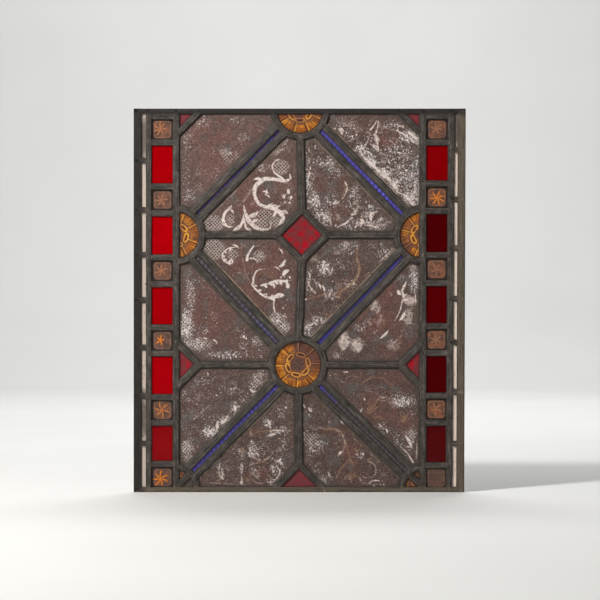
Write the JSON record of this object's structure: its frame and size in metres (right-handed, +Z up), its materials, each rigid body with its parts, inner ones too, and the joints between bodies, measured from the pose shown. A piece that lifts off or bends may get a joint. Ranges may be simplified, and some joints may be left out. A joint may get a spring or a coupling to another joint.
{
  "type": "leaded stained glass window panel",
  "caption": "Flat upright leaded light: painted and coloured glass quarries, roundels and fillets held in a net of soldered lead cames, with a flat came all round.",
  "frame": {"origin": "middle of the bottom edge, halfway through the panel's thickness", "axes": "+Z up, +X to the right seen from the front; the painted front faces -Y"},
  "size_m": [0.498, 0.007, 0.575],
  "materials": {
    "lead_came": "dull weathered lead with darker tarnish and flattened solder joints",
    "grisaille_glass": "fired brown paint over clear glass, worn scroll ornament left pale",
    "ruby_glass": "clear deep red",
    "diapered_ruby_glass": "red glass with a dark painted dotted flower",
    "amber_glass": "yellow-stained glass with brown painted petals",
    "stained_quarry_glass": "brown painted ground round an orange stained flower",
    "blue_glass": "blue-violet strip with painted beads",
    "white_glass": "milky off-white strip"
  },
  "bodies": {
    "root": {"blue_fillet_lower_left": "blue_glass", "blue_fillet_lower_right": "blue_glass", "blue_fillet_middle_left": "blue_glass", "blue_fillet_middle_right": "blue_glass", "blue_fillet_upper_left": "blue_glass", "blue_fillet_upper_right": "blue_glass", "flower_quarry_left_1": "stained_quarry_glass", "flower_quarry_left_2": "stained_quarry_glass", "flower_quarry_left_3": "stained_quarry_glass", "flower_quarry_left_4": "stained_quarry_glass", "flower_quarry_left_5": "stained_quarry_glass", "flower_quarry_left_6": "stained_quarry_glass", "flower_quarry_right_1": "stained_quarry_glass", "flower_quarry_right_2": "stained_quarry_glass", "flower_quarry_right_3": "stained_quarry_glass", "flower_quarry_right_4": "stained_quarry_glass", "flower_quarry_right_5": "stained_quarry_glass", "flower_quarry_right_6": "stained_quarry_glass", "lead_cames": "lead_came", "pane_lower_left_inner": "grisaille_glass", "pane_lower_left_outer": "grisaille_glass", "pane_lower_right_inner": "grisaille_glass", "pane_lower_right_outer": "grisaille_glass", "pane_middle_left_inner": "grisaille_glass", "pane_middle_left_outer": "grisaille_glass", "pane_middle_right_inner": "grisaille_glass", "pane_middle_right_outer": "grisaille_glass", "pane_upper_left_inner": "grisaille_glass", "pane_upper_left_outer": "grisaille_glass", "pane_upper_right_inner": "grisaille_glass", "pane_upper_right_outer": "grisaille_glass", "roundel_centre": "amber_glass", "roundel_corner_left_lower": "amber_glass", "roundel_corner_left_upper": "amber_glass", "roundel_corner_right_lower": "amber_glass", "roundel_corner_right_upper": "amber_glass", "roundel_left": "amber_glass", "roundel_right": "amber_glass", "roundel_top": "amber_glass", "ruby_diamond_bottom": "diapered_ruby_glass", "ruby_diamond_centre": "diapered_ruby_glass", "ruby_diamond_left": "diapered_ruby_glass", "ruby_diamond_right": "diapered_ruby_glass", "ruby_diamond_top_left": "diapered_ruby_glass", "ruby_diamond_top_right": "diapered_ruby_glass", "ruby_left_1": "ruby_glass", "ruby_left_2": "ruby_glass", "ruby_left_3": "ruby_glass", "ruby_left_4": "ruby_glass", "ruby_left_5": "ruby_glass", "ruby_right_1": "ruby_glass", "ruby_right_2": "ruby_glass", "ruby_right_3": "ruby_glass", "ruby_right_4": "ruby_glass", "ruby_right_5": "ruby_glass", "white_fillet_left": "white_glass", "white_fillet_right": "white_glass"}
  },
  "joints": []
}
